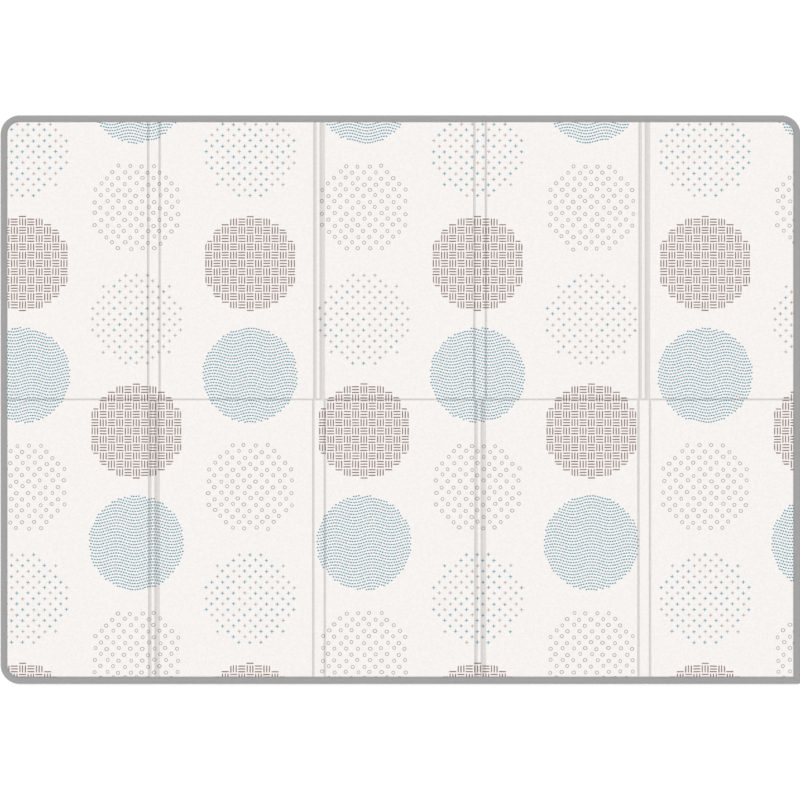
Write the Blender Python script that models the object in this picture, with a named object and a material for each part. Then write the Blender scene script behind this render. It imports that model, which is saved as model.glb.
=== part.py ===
# A folding play mat: one foam sheet with pressed folds, bound all round with a folded tape.
# Metres, +Z up. The mat lies face up on z = 0, with its origin at the middle of its underside.

import math
from collections import namedtuple

import bmesh
import bpy

# The whole mat
MAT_LENGTH = 1.970
MAT_WIDTH = 1.400
FOAM_THICKNESS = 0.015
CORNER_RADIUS = 0.047
SQUARE_CORNER_RADIUS = 0.0045
CORNER_STEPS = 12
SQUARE_CORNER_STEPS = 3

# The tape, folded over the sheet's edge, and the gap that it keeps to the foam
TAPE_THICKNESS = 0.0010
TAPE_LIP = 0.0170
BINDING_HEIGHT = 0.0125
BINDING_EDGE_RADIUS = 0.0040
GAP = 0.0003

# The sheet's soft shoulder beside the tape
SHOULDER_RADIUS = 0.0030
UNDERSIDE_EDGE_RADIUS = 0.0010
EDGE_STEPS = 4
SHARP_ANGLE = math.radians(40)

# The panels between the folds across the mat, from its left end to its right
PANEL_LENGTHS = (0.3785, 0.4065, 0.3965, 0.4040, 0.3845)

# A pressed trough: how far it lies from its fold's axis, its width at the surface and its depth
Trough = namedtuple("Trough", "offset width depth")
SPINE_HALF_WIDTH = 0.0142
NARROW_PAIR = (Trough(-SPINE_HALF_WIDTH, 0.0058, 0.0030), Trough(SPINE_HALF_WIDTH, 0.0058, 0.0030))
WIDE_PAIR = (Trough(-0.0104, 0.0087, 0.0035), Trough(0.0070, 0.0126, 0.0035))
MIDDLE_LINE = (Trough(0.0, 0.0044, 0.0035),)
TROUGH_STEPS = 6

# The press plates that leave the troughs: they clear the sheet's faces by the lift
TOP, UNDERSIDE = 0, 1
PLATE_HEIGHT = 0.006
PLATE_LIFT = 0.0003
PLATE_MARGIN = 0.005
LEAST_STATION = 0.0007

# Colours are linear
FILM_COLOUR = (0.930, 0.896, 0.871, 1.0)
TAPE_COLOUR = (0.371, 0.371, 0.371, 1.0)


def clear_scene():
    for old in list(bpy.data.objects):
        bpy.data.objects.remove(old, do_unlink=True)


def new_collection(name, parent):
    collection = bpy.data.collections.new(name)
    parent.children.link(collection)
    return collection


def new_material(name, colour, roughness):
    material = bpy.data.materials.new(name)
    material.use_nodes = True
    shader = material.node_tree.nodes["Principled BSDF"]
    shader.inputs["Base Color"].default_value = colour
    shader.inputs["Roughness"].default_value = roughness
    shader.inputs["Metallic"].default_value = 0.0
    return material


def object_from(bm, name, collection):
    bmesh.ops.recalc_face_normals(bm, faces=bm.faces)
    mesh = bpy.data.meshes.new(name)
    bm.to_mesh(mesh)
    bm.free()
    mesh.shade_smooth()
    mesh.set_sharp_from_angle(angle=SHARP_ANGLE)
    made = bpy.data.objects.new(name, mesh)
    collection.objects.link(made)
    return made


def mark_as_cutter(cutter):
    cutter.hide_render = True
    cutter.display_type = "WIRE"


def is_square_corner(vertex):
    return vertex.co.x > 0 and vertex.co.y < 0


def round_corners(bm, corners, radius, steps):
    if radius > 0:
        bmesh.ops.bevel(bm, geom=corners, offset=radius, offset_type="OFFSET", segments=steps,
                        profile=0.5, affect="VERTICES", clamp_overlap=False, material=-1)


def round_rim(bm, height, radius):
    # Rounds the edges of a slab that lie flat at one height.
    if radius > 0:
        rim = [e for e in bm.edges if all(math.isclose(v.co.z, height, abs_tol=1e-6) for v in e.verts)]
        bmesh.ops.bevel(bm, geom=rim, offset=radius, offset_type="OFFSET", segments=EDGE_STEPS,
                        profile=0.5, affect="EDGES", clamp_overlap=False, material=-1)


def outline_slab(name, collection, inset, low, high, low_radius=0.0, high_radius=0.0):
    # A slab with the mat's outline, drawn in by the inset: three round corners and one square.
    bm = bmesh.new()
    bmesh.ops.create_grid(bm, x_segments=1, y_segments=1, size=0.5)
    outline_scale = (MAT_LENGTH - 2 * inset, MAT_WIDTH - 2 * inset, 1.0)
    bmesh.ops.scale(bm, vec=outline_scale, verts=bm.verts)
    bmesh.ops.translate(bm, vec=(0, 0, low), verts=bm.verts)
    square = [v for v in bm.verts if is_square_corner(v)]
    rounded = [v for v in bm.verts if not is_square_corner(v)]
    round_corners(bm, rounded, CORNER_RADIUS - inset, CORNER_STEPS)
    round_corners(bm, square, SQUARE_CORNER_RADIUS - inset, SQUARE_CORNER_STEPS)
    lifted = bmesh.ops.extrude_face_region(bm, geom=bm.faces[:])["geom"]
    top = [item for item in lifted if isinstance(item, bmesh.types.BMVert)]
    bmesh.ops.translate(bm, vec=(0, 0, high - low), verts=top)
    bmesh.ops.recalc_face_normals(bm, faces=bm.faces)
    round_rim(bm, low, low_radius)
    round_rim(bm, high, high_radius)
    return object_from(bm, name, collection)


def add_boolean(target, operation, tool):
    cut = target.modifiers.new(operation.title(), "BOOLEAN")
    cut.operation = operation
    cut.solver = "EXACT"
    cut.object = tool


def fold_axes():
    position = -MAT_LENGTH / 2
    axes = []
    for length in PANEL_LENGTHS[:-1]:
        position += length
        axes.append(position)
    return axes


def moved_to(axis, troughs):
    return [trough._replace(offset=axis + trough.offset) for trough in troughs]


def depth_at(place, troughs):
    # The depth under a place across some troughs, each of which has a bell-shaped section.
    depth = -PLATE_LIFT
    for trough in troughs:
        share = (place - trough.offset) / trough.width
        if abs(share) < 0.5:
            bell = 0.5 + 0.5 * math.cos(math.tau * share)
            depth = max(depth, bell * (trough.depth + PLATE_LIFT) - PLATE_LIFT)
    return depth


def stations(troughs, reach):
    # Where a press plate has its grid lines: its two ends and a few lines across each trough.
    lines = []
    for trough in troughs:
        for step in range(TROUGH_STEPS + 1):
            lines.append(trough.offset + trough.width * (step / TROUGH_STEPS - 0.5))
    kept = [-reach]
    for line in sorted(lines):
        if line - kept[-1] > LEAST_STATION:
            kept.append(line)
    return kept + [reach]


def press_plate(name, collection, face, middle, start):
    # One face of the press: flat, with a bell-nosed ridge for each trough that it leaves. The
    # middle troughs run lengthwise, and the troughs across the mat start this far from the middle.
    # A fold across the mat is a narrow pair on one face and a wide pair on the other, and it
    # turns over at the middle line, so that the mat folds in half and then in zigzag.
    halves = [], []
    for number, axis in enumerate(fold_axes()):
        for half in (0, 1):
            pair = WIDE_PAIR if (number + half + face) % 2 else NARROW_PAIR
            halves[half].extend(moved_to(axis, pair))
    across = stations(halves[0] + halves[1], MAT_LENGTH / 2 + PLATE_MARGIN)
    along = stations(middle, MAT_WIDTH / 2 + PLATE_MARGIN)
    bm = bmesh.new()
    bmesh.ops.create_grid(bm, x_segments=len(across) - 1, y_segments=len(along) - 1, size=0.5)
    for number, vertex in enumerate(bm.verts):
        x = across[number % len(across)]
        y = along[number // len(across)]
        depth = depth_at(y, middle)
        if abs(y) > start:
            depth = max(depth, depth_at(x, halves[0] if y > 0 else halves[1]))
        vertex.co = (x, y, -depth)
    lifted = bmesh.ops.extrude_face_region(bm, geom=bm.faces[:])["geom"]
    for item in lifted:
        if isinstance(item, bmesh.types.BMVert):
            item.co.z = PLATE_HEIGHT
    if face == TOP:
        bmesh.ops.translate(bm, vec=(0, 0, FOAM_THICKNESS), verts=bm.verts)
    else:
        bmesh.ops.scale(bm, vec=(1, 1, -1), verts=bm.verts)
    plate = object_from(bm, name, collection)
    mark_as_cutter(plate)
    return plate


def make_sheet(parts, cutters):
    sheet = outline_slab("mat_sheet", parts, TAPE_LIP + GAP, 0.0, FOAM_THICKNESS,
                         UNDERSIDE_EDGE_RADIUS, SHOULDER_RADIUS)
    # The rim that the tape squeezes thinner
    skin = TAPE_THICKNESS + GAP
    rim = outline_slab("squeezed_rim", cutters, skin, skin, BINDING_HEIGHT - skin,
                       BINDING_EDGE_RADIUS - skin, BINDING_EDGE_RADIUS - skin)
    mark_as_cutter(rim)
    add_boolean(sheet, "UNION", rim)
    # The middle fold closes face to face, with its spine between two lines on the underside.
    upper_press = press_plate("upper_press", cutters, TOP, MIDDLE_LINE, 0.0)
    lower_press = press_plate("lower_press", cutters, UNDERSIDE, NARROW_PAIR, SPINE_HALF_WIDTH)
    for press in (upper_press, lower_press):
        add_boolean(sheet, "DIFFERENCE", press)
    sheet.data.materials.append(new_material("printed_film", FILM_COLOUR, 0.55))


def make_binding(parts, cutters):
    binding = outline_slab("edge_binding", parts, 0.0, 0.0, BINDING_HEIGHT,
                           BINDING_EDGE_RADIUS, BINDING_EDGE_RADIUS)
    inside = BINDING_EDGE_RADIUS - TAPE_THICKNESS
    cavity = outline_slab("tape_inside", cutters, TAPE_THICKNESS, TAPE_THICKNESS,
                          BINDING_HEIGHT - TAPE_THICKNESS, inside, inside)
    window = outline_slab("tape_window", cutters, TAPE_LIP, -BINDING_HEIGHT, 2 * BINDING_HEIGHT)
    for cutter in (cavity, window):
        mark_as_cutter(cutter)
        add_boolean(binding, "DIFFERENCE", cutter)
    binding.data.materials.append(new_material("woven_tape", TAPE_COLOUR, 0.85))


clear_scene()
play_mat = new_collection("folding_play_mat", bpy.context.scene.collection)
tools = new_collection("cutters", bpy.context.scene.collection)
make_sheet(play_mat, tools)
make_binding(play_mat, tools)
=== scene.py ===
# The looks of a folding play mat: a foam sheet under printed film, bound with sewn woven tape.
# Metres, +Z up. The mat lies face up on the floor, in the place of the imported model.

import math

import bmesh
import bpy
from mathutils import Matrix, Vector, noise


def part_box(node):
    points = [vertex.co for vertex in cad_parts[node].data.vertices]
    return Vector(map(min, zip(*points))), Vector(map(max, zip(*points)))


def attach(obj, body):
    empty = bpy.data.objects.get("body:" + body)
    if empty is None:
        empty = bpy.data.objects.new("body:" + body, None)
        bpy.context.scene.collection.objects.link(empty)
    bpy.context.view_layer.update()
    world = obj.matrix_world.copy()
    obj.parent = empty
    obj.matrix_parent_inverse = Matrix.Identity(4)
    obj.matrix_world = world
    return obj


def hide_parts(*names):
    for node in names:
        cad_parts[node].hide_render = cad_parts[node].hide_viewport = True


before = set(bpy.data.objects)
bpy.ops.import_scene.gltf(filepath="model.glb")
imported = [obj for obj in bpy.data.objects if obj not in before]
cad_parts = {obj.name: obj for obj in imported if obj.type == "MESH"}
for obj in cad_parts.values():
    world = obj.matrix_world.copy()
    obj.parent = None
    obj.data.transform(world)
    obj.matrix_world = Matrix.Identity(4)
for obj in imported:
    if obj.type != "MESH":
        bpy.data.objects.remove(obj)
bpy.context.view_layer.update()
_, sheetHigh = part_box("mat_sheet")
tapeLow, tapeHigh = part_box("edge_binding")
print("frame loaded")

mat = {
    "halfLength": (tapeHigh.x - tapeLow.x) / 2,
    "halfWidth": (tapeHigh.y - tapeLow.y) / 2,
    "cornerRadius": 0.047,
    "squareRadius": 0.0045,  # the corner at +X, -Y
}


# Helpers for shader nodes

def plug(tree, value, socket):
    if isinstance(value, bpy.types.NodeSocket):
        tree.links.new(value, socket)
    else:
        socket.default_value = value


def calc(tree, operation, *values):
    node = tree.nodes.new("ShaderNodeMath")
    node.operation = operation
    for value, socket in zip(values, node.inputs):
        plug(tree, value, socket)
    return node.outputs["Value"]


def vectorCalc(tree, operation, first, second=None, scale=None):
    node = tree.nodes.new("ShaderNodeVectorMath")
    node.operation = operation
    plug(tree, first, node.inputs[0])
    if second is not None:
        plug(tree, second, node.inputs[1])
    if scale is not None:
        plug(tree, scale, node.inputs["Scale"])
    return node.outputs["Vector"]


def split(tree, vector):
    node = tree.nodes.new("ShaderNodeSeparateXYZ")
    tree.links.new(vector, node.inputs[0])
    return node.outputs[0], node.outputs[1], node.outputs[2]


def join(tree, x, y, z=0.0):
    node = tree.nodes.new("ShaderNodeCombineXYZ")
    for value, socket in zip((x, y, z), node.inputs):
        plug(tree, value, socket)
    return node.outputs[0]


def smoothBand(tree, value, start, end, low=0.0, high=1.0):
    node = tree.nodes.new("ShaderNodeMapRange")
    node.interpolation_type = "SMOOTHSTEP"
    for number, item in enumerate((value, start, end, low, high)):
        plug(tree, item, node.inputs[number])
    return node.outputs["Result"]


def noiseOf(tree, vector, scale, detail=2.0, roughness=0.5):
    node = tree.nodes.new("ShaderNodeTexNoise")
    tree.links.new(vector, node.inputs["Vector"])
    node.inputs["Scale"].default_value = scale
    node.inputs["Detail"].default_value = detail
    node.inputs["Roughness"].default_value = roughness
    return node.outputs


def grain(tree, vector, scale, detail=2.0, roughness=0.5):
    return noiseOf(tree, vector, scale, detail, roughness)["Fac"]


def chanceAt(tree, x, y, seed):
    node = tree.nodes.new("ShaderNodeTexWhiteNoise")
    tree.links.new(join(tree, x, y, seed), node.inputs["Vector"])
    return node.outputs["Value"], node.outputs["Color"]


def mixColour(tree, amount, first, second, blend="MIX"):
    node = tree.nodes.new("ShaderNodeMix")
    node.data_type = "RGBA"
    node.blend_type = blend
    plug(tree, amount, node.inputs["Factor"])
    plug(tree, first, node.inputs[6])  # the colour sockets of the Mix node
    plug(tree, second, node.inputs[7])
    return node.outputs[2]


def hypotenuse(tree, x, y):
    return calc(tree, "SQRT", calc(tree, "MULTIPLY_ADD", x, x, calc(tree, "MULTIPLY", y, y)))


def newGroup(name, inputs, outputs):
    tree = bpy.data.node_groups.new(name, "ShaderNodeTree")
    for socketName, kind in inputs:
        tree.interface.new_socket(socketName, in_out="INPUT", socket_type=kind)
    for socketName, kind in outputs:
        tree.interface.new_socket(socketName, in_out="OUTPUT", socket_type=kind)
    given = tree.nodes.new("NodeGroupInput").outputs
    made = tree.nodes.new("NodeGroupOutput").inputs
    return tree, given, made


def placeGroup(tree, group, **values):
    node = tree.nodes.new("ShaderNodeGroup")
    node.node_tree = group
    for name, value in values.items():
        plug(tree, value, node.inputs[name])
    return node.outputs


def newMaterial(name, roughness):
    material = bpy.data.materials.new(name)
    material.use_nodes = True
    shader = material.node_tree.nodes["Principled BSDF"]
    shader.inputs["Roughness"].default_value = roughness
    return material, material.node_tree, shader


def addBump(tree, shader, height, distance, strength=1.0):
    bump = tree.nodes.new("ShaderNodeBump")
    bump.inputs["Distance"].default_value = distance
    bump.inputs["Strength"].default_value = strength
    tree.links.new(height, bump.inputs["Height"])
    tree.links.new(bump.outputs["Normal"], shader.inputs["Normal"])


# The printed discs, in millimetres

discs = {
    "radius": 119.0,
    "columnPitch": 280.0,
    "rowPitch": 275.0,
    "firstColumn": -930.0,
    "firstRow": 60.0,
    "wobble": 0.45,  # how far the hand-drawn lines stray
    "wobbleScale": 70.0,
    "softness": 0.22,  # the ink's soft edge
    "leastStrength": 0.87,
    "strengthRange": 0.14,
    "patchiness": 0.25,
    "patchScale": 900.0,
    "accentShares": (0.42, 0.82),  # above which chance a plus mark is blue, by its disc
}


def markPlaces(tree, local, seed, pitchX, pitchY):
    # Marks in brick order: where a point lies from its mark, the mark's place and its random values
    x, y, _ = split(tree, local)
    line = calc(tree, "ROUND", calc(tree, "DIVIDE", y, pitchY))
    half = calc(tree, "MULTIPLY", calc(tree, "FLOORED_MODULO", line, 2.0), 0.5)
    place = calc(tree, "ROUND", calc(tree, "SUBTRACT", calc(tree, "DIVIDE", x, pitchX), half))
    markX = calc(tree, "MULTIPLY", calc(tree, "ADD", place, half), pitchX)
    markY = calc(tree, "MULTIPLY", line, pitchY)
    chance, colour = chanceAt(tree, place, line, seed)
    return x, y, markX, markY, chance, colour


def strayed(tree, offset, chance, reach):
    return calc(tree, "MULTIPLY_ADD", calc(tree, "SUBTRACT", chance, 0.5), reach, offset)


def roundedBar(tree, along, across, halfLength, halfWidth):
    beyond = calc(tree, "SUBTRACT", calc(tree, "ABSOLUTE", along), halfLength - halfWidth)
    distance = hypotenuse(tree, calc(tree, "MAXIMUM", beyond, 0.0), across)
    soft = discs["softness"]
    return smoothBand(tree, distance, halfWidth + soft, halfWidth - soft)


def withinDisc(tree, x, y, margin):
    return calc(tree, "LESS_THAN", hypotenuse(tree, x, y), discs["radius"] - margin)


def makeDiscLayout():
    # Columns of discs, each column dropped half a step from the last, with four kinds in turn
    tree, given, made = newGroup(
        "discLayout",
        [("Position", "NodeSocketVector")],
        [("Local", "NodeSocketVector"), ("Kind", "NodeSocketFloat"), ("Seed", "NodeSocketFloat")])
    wander = noiseOf(tree, given["Position"], discs["wobbleScale"], 1.0)["Color"]
    shift = vectorCalc(tree, "SUBTRACT", wander, (0.5, 0.5, 0.5))
    shift = vectorCalc(tree, "SCALE", shift, scale=2 * discs["wobble"])
    millimetres = vectorCalc(tree, "SCALE", given["Position"], scale=1000.0)
    x, y, _ = split(tree, vectorCalc(tree, "ADD", millimetres, shift))
    x = calc(tree, "SUBTRACT", x, discs["firstColumn"])
    column = calc(tree, "ROUND", calc(tree, "DIVIDE", x, discs["columnPitch"]))
    drop = calc(tree, "MULTIPLY", calc(tree, "FLOORED_MODULO", column, 2.0), discs["rowPitch"] / 2)
    y = calc(tree, "SUBTRACT", calc(tree, "SUBTRACT", y, discs["firstRow"]), drop)
    row = calc(tree, "ROUND", calc(tree, "DIVIDE", y, discs["rowPitch"]))
    localX = calc(tree, "SUBTRACT", x, calc(tree, "MULTIPLY", column, discs["columnPitch"]))
    localY = calc(tree, "SUBTRACT", y, calc(tree, "MULTIPLY", row, discs["rowPitch"]))
    tree.links.new(join(tree, localX, localY), made["Local"])
    turn = calc(tree, "MULTIPLY_ADD", column, 2.0, row)
    tree.links.new(calc(tree, "FLOORED_MODULO", turn, 4.0), made["Kind"])
    tree.links.new(calc(tree, "MULTIPLY_ADD", column, 7.0, row), made["Seed"])
    return tree


fillSockets = [("Local", "NodeSocketVector"), ("Seed", "NodeSocketFloat")]
fillResults = [("Mask", "NodeSocketFloat"), ("Chance", "NodeSocketFloat")]


def makeStitchRows():
    # Wavy rows of running stitch
    running = {"pitch": 6.2, "rowPitch": 7.4, "halfLength": 2.3, "halfWidth": 1.75,
               "wave": 4.5, "waveLength": 92.0, "strayAlong": 0.9, "strayAcross": 0.6, "margin": 2.2}
    tree, given, made = newGroup("stitchRows", fillSockets, fillResults)
    turns = math.tau / running["waveLength"]

    def waveAt(place):
        angle = calc(tree, "MULTIPLY_ADD", place, turns, given["Seed"])
        return calc(tree, "MULTIPLY", calc(tree, "SINE", angle), running["wave"])

    x, y, _ = split(tree, given["Local"])
    straight = join(tree, x, calc(tree, "SUBTRACT", y, waveAt(x)))
    x, y, markX, markY, chance, colour = markPlaces(tree, straight, given["Seed"],
                                                    running["pitch"], running["rowPitch"])
    first, second, _ = split(tree, colour)
    along = strayed(tree, calc(tree, "SUBTRACT", x, markX), first, running["strayAlong"])
    across = strayed(tree, calc(tree, "SUBTRACT", y, markY), second, running["strayAcross"])
    mask = roundedBar(tree, along, across, running["halfLength"], running["halfWidth"])
    inside = withinDisc(tree, markX, calc(tree, "ADD", markY, waveAt(markX)), running["margin"])
    tree.links.new(calc(tree, "MULTIPLY", mask, inside), made["Mask"])
    tree.links.new(chance, made["Chance"])
    return tree


def makeBasketBars():
    # Groups of three bars, laid by turns along and across
    basket = {"cell": 20.4, "barPitch": 6.8, "halfLength": 8.9, "halfWidth": 1.45,
              "strayAlong": 1.0, "strayAcross": 0.5, "margin": 2.0}
    tree, given, made = newGroup("basketBars", fillSockets, fillResults)
    x, y, _ = split(tree, given["Local"])
    cellX = calc(tree, "ROUND", calc(tree, "DIVIDE", x, basket["cell"]))
    cellY = calc(tree, "ROUND", calc(tree, "DIVIDE", y, basket["cell"]))
    middleX = calc(tree, "MULTIPLY", cellX, basket["cell"])
    middleY = calc(tree, "MULTIPLY", cellY, basket["cell"])
    offX = calc(tree, "SUBTRACT", x, middleX)
    offY = calc(tree, "SUBTRACT", y, middleY)
    turned = calc(tree, "FLOORED_MODULO", calc(tree, "ADD", cellX, cellY), 2.0)
    level = calc(tree, "SUBTRACT", 1.0, turned)
    along = calc(tree, "MULTIPLY_ADD", offX, level, calc(tree, "MULTIPLY", offY, turned))
    across = calc(tree, "MULTIPLY_ADD", offY, level, calc(tree, "MULTIPLY", offX, turned))
    bar = calc(tree, "ROUND", calc(tree, "DIVIDE", across, basket["barPitch"]))
    bar = calc(tree, "MINIMUM", calc(tree, "MAXIMUM", bar, -1.0), 1.0)
    step = calc(tree, "MULTIPLY", bar, basket["barPitch"])
    barX = calc(tree, "MULTIPLY_ADD", step, turned, middleX)
    barY = calc(tree, "MULTIPLY_ADD", step, level, middleY)
    chance, colour = chanceAt(tree, barX, barY, given["Seed"])
    first, second, _ = split(tree, colour)
    along = strayed(tree, along, first, basket["strayAlong"])
    across = strayed(tree, calc(tree, "SUBTRACT", across, step), second, basket["strayAcross"])
    mask = roundedBar(tree, along, across, basket["halfLength"], basket["halfWidth"])
    inside = calc(tree, "MULTIPLY", withinDisc(tree, barX, barY, basket["margin"]),
                  withinDisc(tree, x, y, 0.0))
    tree.links.new(calc(tree, "MULTIPLY", mask, inside), made["Mask"])
    tree.links.new(chance, made["Chance"])
    return tree


def makePlusMarks():
    plus = {"pitch": 27.0, "rowPitch": 13.5, "halfLength": 4.5, "halfWidth": 1.0,
            "stray": 1.6, "tilt": 0.35, "margin": 4.0}
    tree, given, made = newGroup("plusMarks", fillSockets, fillResults)
    x, y, markX, markY, chance, colour = markPlaces(tree, given["Local"], given["Seed"],
                                                    plus["pitch"], plus["rowPitch"])
    first, second, third = split(tree, colour)
    across = strayed(tree, calc(tree, "SUBTRACT", x, markX), first, plus["stray"])
    up = strayed(tree, calc(tree, "SUBTRACT", y, markY), second, plus["stray"])
    tilt = calc(tree, "MULTIPLY", calc(tree, "SUBTRACT", third, 0.5), plus["tilt"])
    turnedAcross = calc(tree, "MULTIPLY_ADD", up, tilt, across)
    turnedUp = calc(tree, "SUBTRACT", up, calc(tree, "MULTIPLY", across, tilt))
    level = roundedBar(tree, turnedAcross, turnedUp, plus["halfLength"], plus["halfWidth"])
    upright = roundedBar(tree, turnedUp, turnedAcross, plus["halfLength"], plus["halfWidth"])
    inside = withinDisc(tree, markX, markY, plus["margin"])
    mask = calc(tree, "MAXIMUM", level, upright)
    tree.links.new(calc(tree, "MULTIPLY", mask, inside), made["Mask"])
    tree.links.new(chance, made["Chance"])
    return tree


def makeRingMarks():
    ring = {"pitch": 29.0, "rowPitch": 14.5, "radius": 3.9, "halfWidth": 0.9,
            "stray": 4.0, "leastStretch": 0.85, "stretchRange": 0.3, "margin": 4.0}
    tree, given, made = newGroup("ringMarks", fillSockets, fillResults)
    x, y, markX, markY, chance, colour = markPlaces(tree, given["Local"], given["Seed"],
                                                    ring["pitch"], ring["rowPitch"])
    first, second, third = split(tree, colour)
    across = strayed(tree, calc(tree, "SUBTRACT", x, markX), first, ring["stray"])
    up = strayed(tree, calc(tree, "SUBTRACT", y, markY), second, ring["stray"])
    stretch = calc(tree, "MULTIPLY_ADD", third, ring["stretchRange"], ring["leastStretch"])
    distance = hypotenuse(tree, calc(tree, "MULTIPLY", across, stretch), up)
    off = calc(tree, "ABSOLUTE", calc(tree, "SUBTRACT", distance, ring["radius"]))
    soft = discs["softness"]
    mask = smoothBand(tree, off, ring["halfWidth"] + soft, ring["halfWidth"] - soft)
    inside = withinDisc(tree, markX, markY, ring["margin"])
    tree.links.new(calc(tree, "MULTIPLY", mask, inside), made["Mask"])
    tree.links.new(chance, made["Chance"])
    return tree


def makeDiscPrint():
    # One mask for each ink, and the ink's uneven strength
    tree, given, made = newGroup(
        "discPrint",
        [("Position", "NodeSocketVector")],
        [("Blue", "NodeSocketFloat"), ("Taupe", "NodeSocketFloat"),
         ("Pale", "NodeSocketFloat"), ("Strength", "NodeSocketFloat")])
    layout = placeGroup(tree, makeDiscLayout(), Position=given["Position"])
    fills = []
    chances = []
    groups = (makeStitchRows(), makeBasketBars(), makePlusMarks(), makeRingMarks())
    for kind, group in enumerate(groups):
        fill = placeGroup(tree, group, Local=layout["Local"], Seed=layout["Seed"])
        here = calc(tree, "COMPARE", layout["Kind"], float(kind), 0.5)
        fills.append(calc(tree, "MULTIPLY", fill["Mask"], here))
        chances.append(calc(tree, "MULTIPLY", fill["Chance"], here))
    rows, bars, pluses, rings = fills
    low, high = discs["accentShares"]
    odd = calc(tree, "FLOORED_MODULO", layout["Seed"], 2.0)
    accent = calc(tree, "GREATER_THAN", chances[2], calc(tree, "MULTIPLY_ADD", odd, high - low, low))
    blue = calc(tree, "MULTIPLY_ADD", pluses, accent, rows)
    pale = calc(tree, "MULTIPLY_ADD", pluses, calc(tree, "SUBTRACT", 1.0, accent), rings)
    chance = calc(tree, "ADD", calc(tree, "ADD", chances[0], chances[1]), chances[3])
    strength = calc(tree, "MULTIPLY_ADD", chance, discs["strengthRange"], discs["leastStrength"])
    patchy = grain(tree, given["Position"], discs["patchScale"], 1.0)
    strength = strayed(tree, strength, patchy, discs["patchiness"])
    tree.links.new(blue, made["Blue"])
    tree.links.new(bars, made["Taupe"])
    tree.links.new(pale, made["Pale"])
    tree.links.new(strength, made["Strength"])
    return tree


def makeFilmEmboss():
    # A fine linen-like grain, drawn out along and across, and a broader mottle
    tree, given, made = newGroup(
        "filmEmboss",
        [("Position", "NodeSocketVector"), ("Scale", "NodeSocketFloat")],
        [("Height", "NodeSocketFloat"), ("Mottle", "NodeSocketFloat")])
    drawnOut = 0.35
    mottleScale = 0.18
    position = vectorCalc(tree, "SCALE", given["Position"], scale=given["Scale"])
    lengthwise = vectorCalc(tree, "MULTIPLY", position, (drawnOut, 1.0, 1.0))
    crosswise = vectorCalc(tree, "MULTIPLY", position, (1.0, drawnOut, 1.0))
    first = grain(tree, lengthwise, 1.0, 1.0)
    second = grain(tree, crosswise, 1.0, 1.0)
    tree.links.new(calc(tree, "MAXIMUM", first, second), made["Height"])
    tree.links.new(grain(tree, position, mottleScale, 3.0, 0.6), made["Mottle"])
    return tree


# Materials

def makePrintedFilm():
    film = {
        "ground": (0.8585, 0.8272, 0.8051, 1.0),
        "blueInk": (0.035, 0.250, 0.345, 1.0),
        "taupeInk": (0.205, 0.135, 0.115, 1.0),
        "paleInk": (0.360, 0.310, 0.285, 1.0),
        # Painted shade for the creases: a grey that darkens the film in the troughs, standing in for
        # the shade there
        "creaseShadeTint": (0.785, 0.785, 0.785, 1.0),
        "fullShadeAt": 0.16,  # this share of a trough's depth
        "mottleTone": 0.940,
        "embossScale": 1000.0,
        "embossDepth": 0.00022,
        "roughness": (0.62, 0.50),  # in the emboss's lows and on its highs
    }
    material, tree, shader = newMaterial("printedFilm", 0.55)
    shader.inputs["IOR"].default_value = 1.46
    shader.inputs["Specular IOR Level"].default_value = 0.35
    place = tree.nodes.new("ShaderNodeTexCoord").outputs["Object"]
    emboss = placeGroup(tree, makeFilmEmboss(), Position=place, Scale=film["embossScale"])
    mottled = tuple(film["mottleTone"] * part for part in film["ground"][:3]) + (1.0,)
    mottle = smoothBand(tree, emboss["Mottle"], 0.3, 0.7)
    colour = mixColour(tree, mottle, film["ground"], mottled)
    printed = placeGroup(tree, makeDiscPrint(), Position=place)
    _, _, facing = split(tree, tree.nodes.new("ShaderNodeNewGeometry").outputs["Normal"])
    up = calc(tree, "GREATER_THAN", facing, 0.0)  # the underside has no print
    for mask, ink in (("Blue", "blueInk"), ("Taupe", "taupeInk"), ("Pale", "paleInk")):
        amount = calc(tree, "MULTIPLY", printed[mask], printed["Strength"])
        colour = mixColour(tree, calc(tree, "MULTIPLY", amount, up), colour, film[ink])
    # Painted shade: the film is darkened by each crease's share of depth, standing in for the troughs'
    # shade
    pressed = tree.nodes.new("ShaderNodeAttribute")
    pressed.attribute_name = "pressed"
    dark = smoothBand(tree, pressed.outputs["Fac"], 0.0, film["fullShadeAt"])
    colour = mixColour(tree, dark, colour, film["creaseShadeTint"], "MULTIPLY")
    tree.links.new(colour, shader.inputs["Base Color"])
    roughness = smoothBand(tree, emboss["Height"], 0.3, 0.8, *film["roughness"])
    tree.links.new(roughness, shader.inputs["Roughness"])
    addBump(tree, shader, emboss["Height"], film["embossDepth"])
    return material


def makePlainWeave():
    # Yarns over and under each other, from a map in metres
    tree, given, made = newGroup(
        "plainWeave",
        [("Map", "NodeSocketVector"), ("Pitch", "NodeSocketFloat")],
        [("Height", "NodeSocketFloat"), ("GapShade", "NodeSocketFloat")])
    u, v, _ = split(tree, given["Map"])
    u = calc(tree, "DIVIDE", u, given["Pitch"])
    v = calc(tree, "DIVIDE", v, given["Pitch"])
    crossing = calc(tree, "ADD", calc(tree, "FLOOR", u), calc(tree, "FLOOR", v))
    parity = calc(tree, "FLOORED_MODULO", crossing, 2.0)
    acrossU = calc(tree, "ABSOLUTE", calc(tree, "SINE", calc(tree, "MULTIPLY", u, math.pi)))
    acrossV = calc(tree, "ABSOLUTE", calc(tree, "SINE", calc(tree, "MULTIPLY", v, math.pi)))
    over = calc(tree, "MULTIPLY", acrossU, parity)
    under = calc(tree, "MULTIPLY", acrossV, calc(tree, "SUBTRACT", 1.0, parity))
    height = calc(tree, "ADD", over, under)
    tree.links.new(height, made["Height"])
    # Painted shade between the yarns, where the weave is low
    tree.links.new(smoothBand(tree, height, 0.45, 0.0), made["GapShade"])
    return tree


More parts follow.
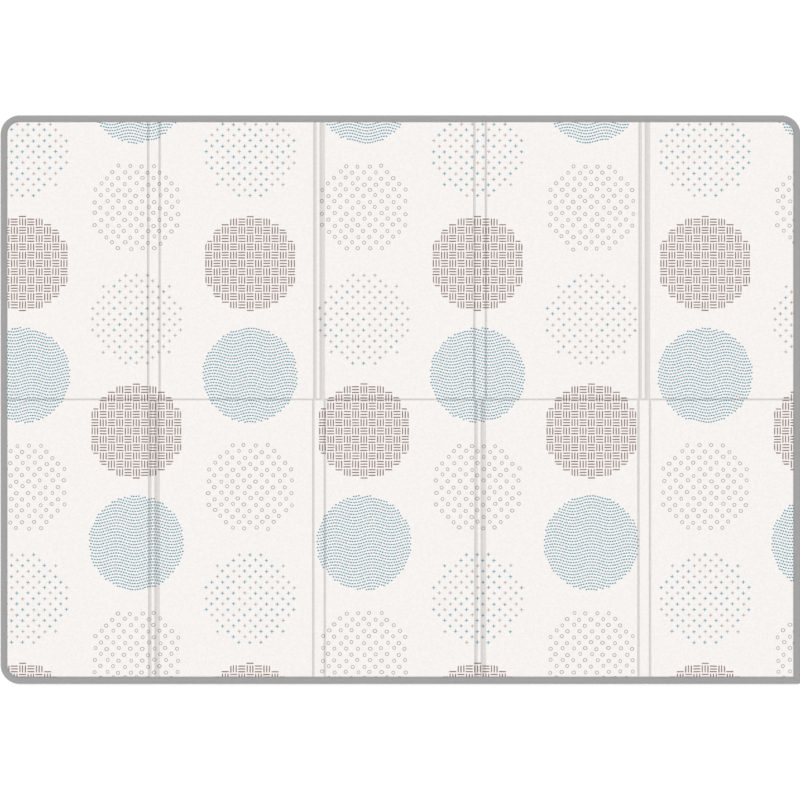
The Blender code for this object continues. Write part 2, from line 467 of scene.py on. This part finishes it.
def makeWovenTape(weave):
    cloth = {
        "yarn": (0.352, 0.352, 0.352, 1.0),
        "gap": (0.235, 0.235, 0.235, 1.0),
        "gapAmount": 0.6,
        "wear": (0.90, 0.90, 0.90, 1.0),
        "wearAmount": 0.35,
        "wearScale": 55.0,
        "pitch": 0.0009,
        "yarnHeight": 0.00012,
    }
    material, tree, shader = newMaterial("wovenTape", 0.88)
    shader.inputs["Specular IOR Level"].default_value = 0.25
    shader.inputs["Sheen Weight"].default_value = 0.08
    shader.inputs["Sheen Roughness"].default_value = 0.5
    uv = tree.nodes.new("ShaderNodeUVMap")
    uv.uv_map = "tapeUv"
    woven = placeGroup(tree, weave, Map=uv.outputs["UV"], Pitch=cloth["pitch"])
    # Painted shade: the gaps between the yarns are darkened, standing in for the shade that falls
    # there
    gap = calc(tree, "MULTIPLY", woven["GapShade"], cloth["gapAmount"])
    colour = mixColour(tree, gap, cloth["yarn"], cloth["gap"])
    place = tree.nodes.new("ShaderNodeTexCoord").outputs["Object"]
    uneven = smoothBand(tree, grain(tree, place, cloth["wearScale"], 4.0, 0.6), 0.25, 0.75)
    worn = calc(tree, "MULTIPLY", uneven, cloth["wearAmount"])
    colour = mixColour(tree, worn, colour, cloth["wear"], "MULTIPLY")
    tree.links.new(colour, shader.inputs["Base Color"])
    addBump(tree, shader, woven["Height"], cloth["yarnHeight"], 0.8)
    return material


def makeThread():
    thread = {
        "light": (0.42, 0.42, 0.42, 1.0),
        "dark": (0.32, 0.32, 0.32, 1.0),
        "fibreScale": 2600.0,
        "fibreHeight": 0.0001,
    }
    material, tree, shader = newMaterial("seamThread", 0.6)
    shader.inputs["Specular IOR Level"].default_value = 0.4
    place = tree.nodes.new("ShaderNodeTexCoord").outputs["Object"]
    fibre = grain(tree, place, thread["fibreScale"])
    colour = mixColour(tree, smoothBand(tree, fibre, 0.3, 0.7), thread["light"], thread["dark"])
    tree.links.new(colour, shader.inputs["Base Color"])
    addBump(tree, shader, fibre, thread["fibreHeight"], 0.5)
    return material


# Meshes

def finishPiece(bm, name, material, node=None):
    mesh = bpy.data.meshes.new(name)
    bm.to_mesh(mesh)
    bm.free()
    mesh.shade_smooth()
    mesh.materials.append(material)
    piece = bpy.data.objects.new(name, mesh)
    bpy.context.scene.collection.objects.link(piece)
    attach(piece, "root")
    if node:
        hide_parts(node)
    print(name, "made,", len(mesh.polygons), "faces")
    return piece


def unevenAt(x, y, scale, seed):
    return noise.noise(Vector((x * scale, y * scale, seed)))


foam = {
    "thickness": sheetHigh.z,
    "rimLow": 0.0013,  # where the tape squeezes the foam
    "rimHigh": 0.0112,
    "shoulderStart": 0.0168,
    "shoulderReach": 0.0034,
    "shoulderCurve": 2.5,
    "squeeze": 0.0035,  # at the very edge, in the tape's fold
    "squeezeReach": 0.004,
    "edgeRows": (0.0013, 0.0022, 0.0040, 0.0100, 0.0168, 0.0171, 0.0175, 0.0181, 0.0190, 0.0202,
                 0.0217, 0.0235, 0.0260, 0.0300, 0.0340, 0.0380, 0.0425, 0.0470),
    "openStep": 0.026,
    "foldStep": 0.0010,
    "foldReach": 0.0185,
    "middleStep": 0.0007,
    "middleReach": 0.0035,
    "panelLengths": (0.3785, 0.4065, 0.3965, 0.4040, 0.3845),
    "narrowPair": ((-0.0142, 0.0066, 0.0023), (0.0142, 0.0066, 0.0023)),  # offset, width, depth
    "widePair": ((-0.0103, 0.0096, 0.0024), (0.0076, 0.0154, 0.0024)),
    "middleLine": ((0.0, 0.0050, 0.0020),),
    "spineHalf": 0.0142,
    "flatness": 0.75,  # below 1 flattens the troughs' floors
    "ease": 0.00035,  # how far the panels ease down beside a fold
    "easeReach": 0.024,
    "billow": 0.00030,  # the sheet's own unevenness
    "billows": ((3.1, 0.4, 1.0), (7.3, 2.2, 0.5)),  # scale, seed and share
}


def foldAxes():
    place = -mat["halfLength"]
    axes = []
    for length in foam["panelLengths"][:-1]:
        place += length
        axes.append(place)
    return axes


def evenly(start, end, step):
    count = max(1, round((end - start) / step))
    return [start + (end - start) * number / count for number in range(count)]


def goOn(lines, end, step):
    # More lines in even steps, from the last one to this end
    start = lines[-1]
    count = round((end - start) / step)
    lines += [start + (end - start) * number / count for number in range(1, count + 1)]


def gridLines(half, bands):
    # Close lines at the edges and across each fold, and open ones between
    lines = [-half + inset for inset in foam["edgeRows"]]
    for low, high, step in bands:
        goOn(lines, low, foam["openStep"])
        goOn(lines, high, step)
    goOn(lines, half - foam["edgeRows"][-1], foam["openStep"])
    return lines + [half - inset for inset in reversed(foam["edgeRows"][:-1])]


def roundedCorner(x, y):
    # Brings the grid's square corners to the mat's round ones, row for row
    square = x > 0 and y < 0
    radius = mat["squareRadius"] if square else mat["cornerRadius"]
    across = (abs(x) - mat["halfLength"] + radius) / radius
    up = (abs(y) - mat["halfWidth"] + radius) / radius
    if across <= 0 or up <= 0:
        return x, y
    pull = max(across, up) / math.hypot(across, up)
    newX = mat["halfLength"] - radius + radius * across * pull
    newY = mat["halfWidth"] - radius + radius * up * pull
    return math.copysign(newX, x), math.copysign(newY, y)


def pressedAt(place, troughs, axis=0.0):
    # Depth and share of depth of the troughs beside an axis
    depth = 0.0
    share = 0.0
    for offset, width, deepest in troughs:
        off = (place - axis - offset) / width
        if abs(off) < 0.5:
            bell = (0.5 + 0.5 * math.cos(math.tau * off)) ** foam["flatness"]
            depth = max(depth, bell * deepest)
            share = max(share, bell)
    return depth, share


def pressAt(x, y, underside):
    middle = foam["narrowPair"] if underside else foam["middleLine"]
    depth, share = pressedAt(y, middle)
    if underside and abs(y) < foam["spineHalf"]:
        return depth, share
    half = 0 if y > 0 else 1
    for number, axis in enumerate(foldAxes()):
        kind = (number + half + (1 if underside else 0)) % 2
        deeper, more = pressedAt(x, foam["widePair"] if kind else foam["narrowPair"], axis)
        depth = max(depth, deeper)
        share = max(share, more)
    return depth, share


def easedAt(x, y):
    near = math.exp(-(y / foam["easeReach"]) ** 2)
    for axis in foldAxes():
        near = max(near, math.exp(-((x - axis) / foam["easeReach"]) ** 2))
    billow = sum(share * unevenAt(x, y, scale, seed) for scale, seed, share in foam["billows"])
    return foam["ease"] * near + foam["billow"] * (0.5 - 0.5 * billow)


# The sheet's own map for baking: the printed top takes most of it, then underside and edges
bakeMap = {
    "top": (0.004, 0.004, 0.996, 0.804),
    "underside": (0.004, 0.814, 0.700, 0.994),
    "near": (0.712, 0.814, 0.994, 0.850),
    "far": (0.712, 0.862, 0.994, 0.898),
    "left": (0.712, 0.910, 0.994, 0.946),
    "right": (0.712, 0.958, 0.994, 0.994),
}


def layOutBakeMap(bm, ends, below):
    baked = bm.loops.layers.uv.new("OFBake")
    for face in bm.faces:
        upper = [vertex for vertex in face.verts if vertex not in below]
        area = "underside" if not upper else "top"
        if 0 < len(upper) < len(face.verts):
            area = next(name for name in ("near", "far", "left", "right")
                        if all(ends[vertex][name] for vertex in upper))
        left, bottom, right, top = bakeMap[area]
        for loop in face.loops:
            x = 0.5 + loop.vert.co.x / (2 * mat["halfLength"])
            y = 0.5 + loop.vert.co.y / (2 * mat["halfWidth"])
            if area in ("near", "far"):
                y = 0.0 if loop.vert in below else 1.0
            if area in ("left", "right"):
                x = y
                y = 0.0 if loop.vert in below else 1.0
            if area == "underside":
                x = 1 - x
            loop[baked].uv = (left + (right - left) * x, bottom + (top - bottom) * y)


def makeFoamSheet(material):
    reach = foam["foldReach"]
    step = foam["foldStep"]
    close = foam["middleReach"]
    folds = [(axis - reach, axis + reach, step) for axis in foldAxes()]
    middle = [(-reach, -close, step), (-close, close, foam["middleStep"]), (close, reach, step)]
    columns = gridLines(mat["halfLength"], folds)
    rows = gridLines(mat["halfWidth"], middle)
    bm = bmesh.new()
    pressed = bm.verts.layers.float.new("pressed")
    inset = bm.verts.layers.float.new("inset")
    bmesh.ops.create_grid(bm, x_segments=len(columns) - 1, y_segments=len(rows) - 1, size=0.5)
    ends = {}
    for number, vertex in enumerate(bm.verts):
        column = number % len(columns)
        row = number // len(columns)
        ends[vertex] = {"left": column == 0, "right": column == len(columns) - 1,
                        "near": row == 0, "far": row == len(rows) - 1}
        x = columns[column]
        y = rows[row]
        vertex[inset] = min(mat["halfLength"] - abs(x), mat["halfWidth"] - abs(y))
        vertex.co.xy = roundedCorner(x, y)
    lifted = bmesh.ops.extrude_face_region(bm, geom=bm.faces[:])["geom"]
    below = {item for item in lifted if isinstance(item, bmesh.types.BMVert)}
    for vertex in bm.verts:
        underside = vertex in below
        x, y, _ = vertex.co
        depth, share = pressAt(x, y, underside)
        rise = (vertex[inset] - foam["shoulderStart"]) / foam["shoulderReach"]
        rise = 1 - (1 - min(max(rise, 0.0), 1.0)) ** foam["shoulderCurve"]
        squeeze = max(0.0, 1 - vertex[inset] / foam["squeezeReach"]) ** 2 * foam["squeeze"]
        full = foam["thickness"] - easedAt(x, y)
        if underside:
            vertex.co.z = foam["rimLow"] * (1 - rise) + squeeze + depth * rise
        else:
            vertex.co.z = foam["rimHigh"] + (full - foam["rimHigh"]) * rise - squeeze - depth * rise
        vertex[pressed] = share * rise
    layOutBakeMap(bm, ends, below)
    bm.verts.layers.float.remove(bm.verts.layers.float["inset"])
    bmesh.ops.recalc_face_normals(bm, faces=bm.faces)
    piece = finishPiece(bm, "foamSheet", material, "mat_sheet")
    return piece


tape = {
    "height": tapeHigh.z,
    "thickness": 0.0010,
    "lip": 0.0170,
    "edgeRadius": 0.0040,
    "foldSteps": 5,
    "cutBevel": 0.0003,
    "cutRows": (0.0002, 0.0007),  # in from the lip's cut edge
    "seamRows": (0.0016, 0.0008),  # on each side of the seam
    "outerRows": (0.0085, 0.0062),
    "innerRows": (0.0065, 0.0100),
    "weld": 0.000002,
    "step": 0.009,
    "cornerSteps": 22,
    "squareSteps": 3,
    "mitreReach": 0.030,
    "mitreSteps": (0.0, 0.0005, 0.0011, 0.0019, 0.0030, 0.0048, 0.0075, 0.0115, 0.0175),
    "mitreFold": 0.00045,  # depth of the fold line from the square corner
    "mitreFoldWidth": 0.0007,
    "mitreFade": 0.004,
    "mitreLap": 0.00030,  # one side's tape lies over the other's
    "mitreLapWidth": 0.0006,
    "seamInset": 0.0138,
    "seamDip": 0.00035,
    "seamDipWidth": 0.0009,
    "slackStart": 0.005,  # the cloth is uneven from here to its lip
    "slackReach": 0.012,
    "waver": 0.00025,
    "waverScale": 22,
    "crinkle": 0.00008,
    "crinkleScale": 60,
    "gather": 0.00022,
    "gathers": 5.5,  # at each round corner
}

# The mat's sides in turn: the corner where each starts, the way it runs and the way in from it
sides = (
    {"corner": (-1, -1), "way": (1, 0), "inward": (0, 1)},
    {"corner": (1, -1), "way": (0, 1), "inward": (-1, 0)},
    {"corner": (1, 1), "way": (-1, 0), "inward": (0, -1)},
    {"corner": (-1, 1), "way": (0, -1), "inward": (1, 0)},
)


def cornerIsSquare(corner):
    return corner == (1, -1)


def radiusAt(corner):
    return mat["squareRadius"] if cornerIsSquare(corner) else mat["cornerRadius"]


def sideLength(number):
    return 2 * (mat["halfWidth"] if number % 2 else mat["halfLength"])


def cornerPlace(corner):
    return Vector((corner[0] * mat["halfLength"], corner[1] * mat["halfWidth"]))


def sidePoint(number, distance, inset):
    # A place on a side, by its distance from the corner where the side starts
    side = sides[number]
    following = sides[(number + 1) % 4]
    reach = tape["mitreReach"]
    length = sideLength(number)
    square = mat["squareRadius"]
    share = (reach - max(inset, square)) / (reach - square)  # the mitre takes up the inner rows
    if cornerIsSquare(side["corner"]) and distance < reach:
        distance = reach - (reach - distance) * share
    if cornerIsSquare(following["corner"]) and length - distance < reach:
        distance = length - reach + (reach - length + distance) * share
    start = cornerPlace(side["corner"])
    return start + Vector(side["way"]) * distance + Vector(side["inward"]) * inset


def cornerPoint(number, share, inset):
    # A place round the corner where a side ends, from that side at 0 to the next at 1
    corner = sides[(number + 1) % 4]["corner"]
    radius = radiusAt(corner)
    outward = -Vector(sides[number]["inward"])
    onward = Vector(sides[number]["way"])
    back = max(radius, inset if cornerIsSquare(corner) else 0.0)
    centre = cornerPlace(corner) - (outward + onward) * back
    angle = share * math.pi / 2
    return centre + (outward * math.cos(angle) + onward * math.sin(angle)) * max(radius - inset, 0.0)


def tapeStations():
    # Each station: its side, whether it is on the corner, its place there, and the length so far
    stations = []
    run = 0.0
    for number in range(4):
        before = radiusAt(sides[number]["corner"])
        after = radiusAt(sides[(number + 1) % 4]["corner"])
        length = sideLength(number)
        places = []
        low = before
        high = length - after
        if cornerIsSquare(sides[number]["corner"]):
            places += [before + step for step in tape["mitreSteps"]]
            low = tape["mitreReach"]
        if cornerIsSquare(sides[(number + 1) % 4]["corner"]):
            high = length - tape["mitreReach"]
        places += evenly(low, high, tape["step"])
        if high < length - after:
            places += [length - after - step for step in reversed(tape["mitreSteps"][1:])]
        for place in places:
            stations.append((number, False, place, run + place - before))
        run += length - before - after
        steps = tape["squareSteps"] if after == mat["squareRadius"] else tape["cornerSteps"]
        for step in range(steps):
            stations.append((number, True, step / steps, run + after * math.pi / 2 * step / steps))
        run += after * math.pi / 2
    first = stations[0]
    return stations + [(first[0], first[1], first[2], run)]


def stationPoint(station, inset):
    number, onCorner, place, _ = station
    return cornerPoint(number, place, inset) if onCorner else sidePoint(number, place, inset)


def foldSection(curve):
    # One surface of the folded cloth, from the top lip round to the underside's
    radius = tape["edgeRadius"]
    high = tape["height"]
    angles = [math.pi / 2 * step / tape["foldSteps"] for step in range(tape["foldSteps"] + 1)]
    points = []
    for angle in angles:
        points.append((radius - curve * math.sin(angle), high - radius + curve * math.cos(angle)))
    for angle in angles:
        points.append((radius - curve * math.cos(angle), radius - curve * math.sin(angle)))
    return points


def lipSection(height, insets):
    return [(inset, height) for inset in insets]


def tapeSection():
    # The closed section of the folded tape: inset, height and place across the cloth
    radius = tape["edgeRadius"]
    lip = tape["lip"]
    thin = tape["thickness"]
    high = tape["height"]
    seam = tape["seamInset"]
    bevel = tape["cutBevel"]
    cut = [lip - off for off in tape["cutRows"]]
    outer = cut + [seam + off for off in tape["seamRows"]] + [seam]
    outer += [seam - off for off in reversed(tape["seamRows"])] + list(tape["outerRows"])
    inner = list(tape["innerRows"]) + [seam] + cut[::-1]
    path = lipSection(high, outer) + foldSection(radius) + lipSection(0.0, outer[::-1])
    path += [(lip, bevel), (lip, thin - bevel)]
    path += lipSection(thin, inner[::-1]) + foldSection(radius - thin)[::-1]
    path += lipSection(high - thin, inner)
    path += [(lip, high - thin + bevel), (lip, high - bevel)]
    section = []
    travelled = 0.0
    for number, (inset, height) in enumerate(path):
        if number:
            travelled += math.dist(path[number - 1], (inset, height))
        section.append((inset, height, travelled))
    closing = travelled + math.dist(path[-1], path[0])
    return section + [(path[0][0], path[0][1], closing)]


def tapeShift(point, inset, height, station):
    # The sewn cloth's small unevenness: a wavering lip, the seam's dip and gathers at the corners
    number, onCorner, place, _ = station
    lipShare = min(1.0, max(0.0, (inset - tape["slackStart"]) / tape["slackReach"]))
    sense = 1 if height > tape["height"] / 2 else -1
    slide = tape["waver"] * unevenAt(point.x, point.y, tape["waverScale"], sense * 3.0) * lipShare
    dip = tape["seamDip"] * math.exp(-((inset - tape["seamInset"]) / tape["seamDipWidth"]) ** 2)
    fine = unevenAt(point.x, point.y, tape["crinkleScale"], sense * 5.0)
    dip += tape["crinkle"] * (1 + fine) * lipShare
    if onCorner and not cornerIsSquare(sides[(number + 1) % 4]["corner"]):
        gather = 0.5 + 0.5 * math.cos(place * math.tau * tape["gathers"])
        dip += tape["gather"] * gather * lipShare * math.sin(place * math.pi)
    fromSide = mat["halfLength"] - point.x
    fromFoot = mat["halfWidth"] + point.y
    if max(fromSide, fromFoot) < tape["mitreReach"]:
        off = (fromSide - fromFoot) / math.sqrt(2)
        line = math.exp(-(off / tape["mitreFoldWidth"]) ** 2)
        dip += tape["mitreFold"] * line * min(1.0, inset / tape["mitreFade"])
        if sense > 0 and off < 0:
            lap = tape["mitreLap"] * (1 - math.exp(off / tape["mitreLapWidth"]))
            dip -= lap * max(0.0, 1 - fromFoot / tape["mitreReach"])
    return slide, -sense * dip


def makeTapeBinding(material):
    stations = tapeStations()
    section = tapeSection()
    bm = bmesh.new()
    cloth = bm.loops.layers.uv.new("tapeUv")
    bmesh.ops.create_grid(bm, x_segments=len(stations) - 1, y_segments=len(section) - 1, size=0.5)
    for face in bm.faces:
        for loop in face.loops:
            number = loop.vert.index
            loop[cloth].uv = (stations[number % len(stations)][3], section[number // len(stations)][2])
    for number, vertex in enumerate(bm.verts):
        station = stations[number % len(stations)]
        inset, height, _ = section[number // len(stations)]
        point = stationPoint(station, inset)
        slide, lift = tapeShift(point, inset, height, station)
        point = stationPoint(station, inset + slide)
        vertex.co = (point.x, point.y, height + lift)
    bmesh.ops.remove_doubles(bm, verts=bm.verts, dist=tape["weld"])
    bmesh.ops.recalc_face_normals(bm, faces=bm.faces)
    run = stations[-1][3]
    girth = section[-1][2] / 2
    piece = finishPiece(bm, "tapeBinding", material, "edge_binding")
    return piece, run, girth


stitch = {
    "pitch": 0.0035,
    "length": 0.0027,
    "thickness": 0.0006,
    "sides": 6,
    "rings": 4,
    "strip": 44,  # stitches repeated together
    "topRise": 0.25,  # how far its middle lies out of the dipped cloth, in thicknesses
    "bottomRise": 0.05,
}


def seamPlace(distance, inset):
    # A place on a line beside the seam, by the distance run along the seam
    seam = tape["seamInset"]
    number = 0
    while True:
        side = number % 4
        corner = sides[side]["corner"]
        following = sides[(side + 1) % 4]["corner"]
        before = max(radiusAt(corner), seam if cornerIsSquare(corner) else 0.0)
        after = max(radiusAt(following), seam if cornerIsSquare(following) else 0.0)
        straight = sideLength(side) - before - after
        if distance <= straight:
            way = Vector(sides[side]["way"])
            inward = Vector(sides[side]["inward"])
            return cornerPlace(corner) + way * (before + distance) + inward * inset
        distance -= straight
        turn = 0.0 if cornerIsSquare(following) else (after - seam) * math.pi / 2
        if distance < turn:
            return cornerPoint(side, distance / turn, inset)
        distance -= turn
        number += 1


def seamLength():
    seam = tape["seamInset"]
    straight = 2 * (sideLength(0) + sideLength(1)) - 6 * mat["cornerRadius"] - 2 * seam
    return straight + 3 * (mat["cornerRadius"] - seam) * math.pi / 2


def rowOf(bm, count, pitch):
    # Repeats all that the mesh holds, this many times along X
    bmesh.ops.spin(bm, geom=bm.verts[:] + bm.edges[:] + bm.faces[:], cent=(0, 0, 0), axis=(0, 0, 1),
                   dvec=(pitch, 0, 0), angle=0.0, steps=count - 1, use_duplicate=True)


def makeSeamStitches(material):
    run = seamLength()
    strips = round(run / stitch["pitch"] / stitch["strip"])
    pitch = run / strips / stitch["strip"]
    bm = bmesh.new()
    bmesh.ops.create_uvsphere(bm, u_segments=stitch["sides"], v_segments=stitch["rings"], radius=0.5)
    bmesh.ops.rotate(bm, cent=(0, 0, 0), matrix=Matrix.Rotation(math.pi / 2, 3, "Y"), verts=bm.verts)
    size = (stitch["length"], stitch["thickness"], stitch["thickness"])
    bmesh.ops.scale(bm, vec=size, verts=bm.verts)
    bmesh.ops.translate(bm, vec=(pitch / 2, 0, 0), verts=bm.verts)
    rowOf(bm, stitch["strip"], pitch)
    rowOf(bm, strips, pitch * stitch["strip"])
    lower = bmesh.ops.duplicate(bm, geom=bm.verts[:] + bm.edges[:] + bm.faces[:])["geom"]
    lower = {item for item in lower if isinstance(item, bmesh.types.BMVert)}
    top = tape["height"] - tape["seamDip"] + stitch["thickness"] * stitch["topRise"]
    bottom = tape["seamDip"] - stitch["thickness"] * stitch["bottomRise"]
    last = run - 1e-7  # just short of the start again
    for vertex in bm.verts:
        along, across, up = vertex.co
        point = seamPlace(min(max(along, 0.0), last), tape["seamInset"] + across)
        vertex.co = (point.x, point.y, up + (bottom if vertex in lower else top))
    bmesh.ops.recalc_face_normals(bm, faces=bm.faces)
    return finishPiece(bm, "seamStitches", material)


# Stage, light and camera

stage = {
    "floorSize": 400.0,
    "floorTone": (0.9, 0.9, 0.9, 1.0),
    "floorGlow": 0.22,
    "white": (1.0, 1.0, 1.0, 1.0),
    "ambient": 0.82,
    "backdrop": 1.2,  # the world's strength as the camera sees it
    "keyStrength": 1.12,
    "keyAngle": 0.9,
    "keyFrom": (-0.42, 0.55, 1.0),
    "viewWidth": 1.97073,  # what the photo takes in at the mat's outline
    "viewShift": (-0.00106, -0.00110),
    "lens": 200.0,
}


def makeFloor():
    bm = bmesh.new()
    bmesh.ops.create_grid(bm, x_segments=1, y_segments=1, size=stage["floorSize"] / 2)
    mesh = bpy.data.meshes.new("floor")
    bm.to_mesh(mesh)
    bm.free()
    material, _, shader = newMaterial("paleFloor", 0.9)
    shader.inputs["Base Color"].default_value = stage["floorTone"]
    shader.inputs["Emission Color"].default_value = stage["white"]
    shader.inputs["Emission Strength"].default_value = stage["floorGlow"]
    mesh.materials.append(material)
    floor = bpy.data.objects.new("floor", mesh)
    bpy.context.scene.collection.objects.link(floor)


def makeLight():
    world = bpy.data.worlds.new("studio")
    world.use_nodes = True
    tree = world.node_tree
    background = tree.nodes["Background"]
    background.inputs["Color"].default_value = stage["white"]
    direct = tree.nodes.new("ShaderNodeLightPath").outputs["Is Camera Ray"]
    strength = smoothBand(tree, direct, 0.0, 1.0, stage["ambient"], stage["backdrop"])
    tree.links.new(strength, background.inputs["Strength"])
    bpy.context.scene.world = world
    key = bpy.data.lights.new("key", "SUN")
    key.energy = stage["keyStrength"]
    key.angle = stage["keyAngle"]
    lamp = bpy.data.objects.new("key", key)
    lamp.rotation_euler = Vector(stage["keyFrom"]).to_track_quat("Z", "Y").to_euler()
    bpy.context.scene.collection.objects.link(lamp)


def makeCamera():
    camera = bpy.data.cameras.new("camera")
    camera.type = "PERSP"
    camera.sensor_width = 36.0
    camera.lens = stage["lens"]
    camera.clip_end = 100.0
    holder = bpy.data.objects.new("camera", camera)
    shiftX, shiftY = stage["viewShift"]
    away = stage["viewWidth"] * camera.lens / camera.sensor_width
    holder.location = (shiftX, shiftY, tape["height"] / 2 + away)
    bpy.context.scene.collection.objects.link(holder)
    bpy.context.scene.camera = holder


makeCamera()
makeLight()
makeFloor()
bpy.context.scene.view_settings.view_transform = "Standard"
print("stage set")

foamSheet = makeFoamSheet(makePrintedFilm())
tapeBinding, tapeRun, tapeGirth = makeTapeBinding(makeWovenTape(makePlainWeave()))
seamStitches = makeSeamStitches(makeThread())

print("tape cut", round(tapeGirth, 4), "by", round(tapeRun, 3))
